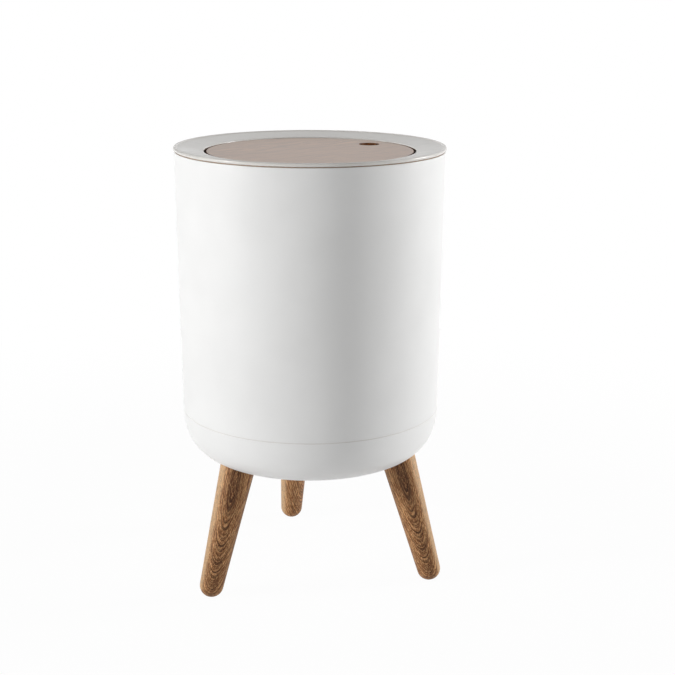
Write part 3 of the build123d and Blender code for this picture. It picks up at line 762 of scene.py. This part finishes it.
# %% Panel wood
lacquered = {"IOR": WOOD_IOR, "Coat_Roughness": 0.3}
panel_wood, tree, shader, place = start_material("panel_walnut", **lacquered)
grain, in_tree = wood_in_tree(tree, place, BOARD_HEART, BOARD_TURN, BOARD_GRAIN)
streaks = ramp(tree, grain["Streak"], *BOARD_STREAKS)
colour = blend_colours(tree, streaks, BOARD_BROWN, BOARD_STREAK)
for mask, share in (("Rings", BOARD_RINGS), ("Pores", BOARD_PORES)):
    colour = blend_colours(tree, calc(tree, "MULTIPLY", grain[mask], share), colour, BOARD_LINE)
from_middle = round_distance(tree, place, (0.0, 0.0, 0.0))
# the cut edge, darkened as char and as painted shade for the gap
charred_and_shaded = ramp(tree, from_middle, PANEL_R - EDGE_BURN_AND_SHADE, PANEL_R - EDGE_SOFT)
colour = blend_colours(tree, charred_and_shaded, colour, BURNT_AND_SHADE)
gloss = ramp(tree, charred_and_shaded, 0.0, 1.0, BOARD_ROUGHNESS, 1.0)
coat = ramp(tree, charred_and_shaded, 0.0, 1.0, LACQUER, 0.0)
normal = bump(tree, wood_height(tree, grain), *BOARD_RELIEF)
drive(tree, shader, Base_Color=colour, Roughness=gloss, Coat_Weight=coat, Normal=normal)
dress(panel_wood, "flap_panel")

# %% [markdown]
# ### Char in the mark
#
# A laser leaves a skin of brown char on all that it burns, down to the floor of each band and
# over the land between them. Char is dull, and the lacquered wood round it isn't. One shader
# can't be both at a low angle, because its specular level is the same all over, so the char is a
# piece of its own: its stepped section is spun round the mark.

# %% Char finish
MARK_Y = -0.069
MARK_BANDS = ((0.0090, 0.0063), (0.0053, 0.0016))  # outer and inner radius of each band
CRUMB_SCALE = 2500.0  # cycles per metre
CRUMB_RANGE = (0.35, 0.65)


def band_mask(tree, radius, outer, inner):
    """1 between two radii and 0 elsewhere, with a soft edge."""
    inside = ramp(tree, radius, outer - EDGE_SOFT, outer + EDGE_SOFT, 1.0, 0.0)
    return calc(tree, "MULTIPLY", inside, ramp(tree, radius, inner - EDGE_SOFT, inner + EDGE_SOFT))


char, tree, shader, place = start_material("char", Roughness=1.0, Specular_IOR_Level=0.05)
crumbs = ramp(tree, noise(tree, place, CRUMB_SCALE), *CRUMB_RANGE)
dark_char = blend_colours(tree, crumbs, srgb(56, 27, 10), srgb(94, 52, 25))
light_char = blend_colours(tree, crumbs, srgb(134, 80, 42), srgb(172, 118, 72))
from_mark = round_distance(tree, place, (0.0, MARK_Y, 0.0))
bands = [band_mask(tree, from_mark, outer, inner) for outer, inner in MARK_BANDS]
burnt_bands = calc(tree, "MAXIMUM", *bands)
drive(tree, shader, Base_Color=blend_colours(tree, burnt_bands, light_char, dark_char))
print("char in", len(bands), "bands")

# %% Char shape
MARK_DEPTH = 0.00025
CHAR_RIM_R = 0.0093  # the char reaches a little past the outer band
CHAR_SKIN = 0.00002  # how far it stands off the wood
CHAR_STEPS = 96  # round the mark

mark_floor_z = PANEL_TOP_Z - MARK_DEPTH
section = [(CHAR_RIM_R, PANEL_TOP_Z)]
for outer, inner in MARK_BANDS:
    section += [(outer - CHAR_SKIN, PANEL_TOP_Z), (outer - CHAR_SKIN, mark_floor_z)]
    section += [(inner + CHAR_SKIN, mark_floor_z), (inner + CHAR_SKIN, PANEL_TOP_Z)]
section.append((0.0, PANEL_TOP_Z))

shape = bmesh.new()
corners = [shape.verts.new((reach, 0, height + CHAR_SKIN)) for reach, height in section]
line = corners + [shape.edges.new(pair) for pair in zip(corners, corners[1:])]
turning = {"axis": (0, 0, 1), "angle": math.tau, "steps": CHAR_STEPS, "use_merge": True}
bmesh.ops.spin(shape, geom=line, **turning)
bmesh.ops.remove_doubles(shape, verts=shape.verts, dist=CHAR_SKIN / 10)
bmesh.ops.recalc_face_normals(shape, faces=shape.faces)
bmesh.ops.solidify(shape, geom=shape.faces[:], thickness=CHAR_SKIN / 2)
bmesh.ops.translate(shape, verts=shape.verts, vec=(0, MARK_Y, 0))
bmesh.ops.recalc_face_normals(shape, faces=shape.faces)
mark_char = new_object("mark_char", shape, char)
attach(mark_char, "flap")

# %% [markdown]
# ## Metals
#
# The fixings are steel with a bright zinc plating, the springs are bare drawn wire, and the
# inserts are turned brass. They differ only in colour, gloss and the way that their lines run, so
# one function makes them all.

# %% Metal
LINE_RELIEF = (0.15, 0.00005)  # strength and depth
PATCH_RANGE = (0.35, 0.7)
LINE_ROUGHNESS = 0.25  # how much rougher the noise of the lines makes the metal at most
LINE_MEAN = 0.12  # and what it adds on the whole, which is taken off


def metal(name, bright, dull, roughness, line_size):
    """Drawn or turned metal: lines along it, and duller patches."""
    material, tree, shader, place = start_material(name, Metallic=1.0)
    inputs = {"Vector": place, "Line Size": line_size}
    marks = add(tree, "ShaderNodeGroup", inputs, node_tree=drawn_metal).outputs
    tint = blend_colours(tree, ramp(tree, marks["Patches"], *PATCH_RANGE), bright, dull)
    plain = roughness - LINE_MEAN
    uneven = calc(tree, "MULTIPLY_ADD", marks["Lines"], LINE_ROUGHNESS, plain)
    normal = bump(tree, marks["Lines"], *LINE_RELIEF)
    drive(tree, shader, Base_Color=tint, Roughness=uneven, Normal=normal)
    return material


# %% The four metals
ALONG_X = (0.004, 0.0002, 0.0002)
ALONG_Z = (0.0002, 0.0002, 0.003)
ZINC = (srgb(205, 207, 210), srgb(178, 181, 186))  # bright and dull
STEEL = (srgb(168, 170, 174), srgb(132, 134, 138))
BRASS = (srgb(214, 184, 112), srgb(186, 152, 84))

zinc_bar = metal("zinc_plated_bar", *ZINC, 0.3, ALONG_X)
zinc_screw = metal("zinc_plated_screw", *ZINC, 0.33, ALONG_Z)
wire = metal("spring_wire", *STEEL, 0.28, ALONG_X)
brass = metal("turned_brass", *BRASS, 0.3, ALONG_Z)
dress(zinc_bar, "hinge_pin", "pin_clips")
dress(zinc_screw, "hanger_bolts", "latch_screws", "striker_screws")
dress(wire, "torsion_spring_left", "torsion_spring_right", "latch_pin")
dress(brass, "threaded_inserts")

# %% [markdown]
# ### Latch spring
#
# The small spring in the latch shortens when the flap is pressed. Its coil is modelled again as a
# piece of its own and attached to the lid. It could be a curve with a round bevel, but a spin
# that lifts its section a little at each step makes the same tube in one call, with both ends
# open to be capped.

# %% Coil of the latch spring
COIL_WIRE_R = 0.0003
COIL_TURNS = 5
COIL_STEPS = 36  # in each turn
WIRE_SIDES = 12  # corners of the wire's round section

coil_low, coil_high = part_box("latch_spring")
coil_middle = (coil_low + coil_high) / 2
coil_height = coil_high.z - coil_low.z
coil_r = (coil_high.x - coil_low.x) / 2 - COIL_WIRE_R
steps = COIL_TURNS * COIL_STEPS
step_rise = (coil_height - 2 * COIL_WIRE_R) / steps

shape = bmesh.new()
first_end = Vector((coil_middle.x + coil_r, coil_middle.y, coil_low.z + COIL_WIRE_R))
upright = Matrix.Translation(first_end) @ Matrix.Rotation(math.pi / 2, 4, "X")
bmesh.ops.create_circle(shape, segments=WIRE_SIDES, radius=COIL_WIRE_R, matrix=upright)
section = shape.verts[:] + shape.edges[:]
turning = {"cent": coil_middle, "axis": (0, 0, 1), "dvec": (0, 0, step_rise)}
bmesh.ops.spin(shape, geom=section, angle=COIL_TURNS * math.tau, steps=steps, **turning)
open_ends = [edge for edge in shape.edges if edge.is_boundary]
bmesh.ops.holes_fill(shape, edges=open_ends, sides=WIRE_SIDES)
bmesh.ops.recalc_face_normals(shape, faces=shape.faces)
coil = new_object("latch_spring_coil", shape, wire)
coil.data.polygons.foreach_set("use_smooth", [True] * len(coil.data.polygons))
print("coil radius", round(coil_r * 1000, 2), "mm, height", round(coil_height * 1000, 2), "mm")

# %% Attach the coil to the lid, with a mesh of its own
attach(coil, "lid")
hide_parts("latch_spring")
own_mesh(coil)

# %% [markdown]
# ### Foam tape
#
# The panel is stuck to its tray with a double-sided foam tape, which shows only as a thin pale
# line. Foam is a heap of small cells, so a Voronoi texture, which divides space into cells, gives
# both its faint colour and its dents. A noise would look more like paper.

# %% Foam tape
CELL_SIZE = 0.0006
CELL_RANGE = (0.1, 0.6)
CELL_RELIEF = (0.5, 0.0003)  # strength and depth

foam, tree, shader, place = start_material("foam_tape_white", Roughness=0.95)
cell_inputs = {"Vector": place, "Scale": 1 / CELL_SIZE}
cells = add(tree, "ShaderNodeTexVoronoi", cell_inputs).outputs["Distance"]
cell_walls = ramp(tree, cells, *CELL_RANGE)
tint = blend_colours(tree, cell_walls, srgb(226, 225, 218), srgb(204, 203, 196))
drive(tree, shader, Base_Color=tint, Normal=bump(tree, cells, *CELL_RELIEF))
dress(foam, "panel_tape")
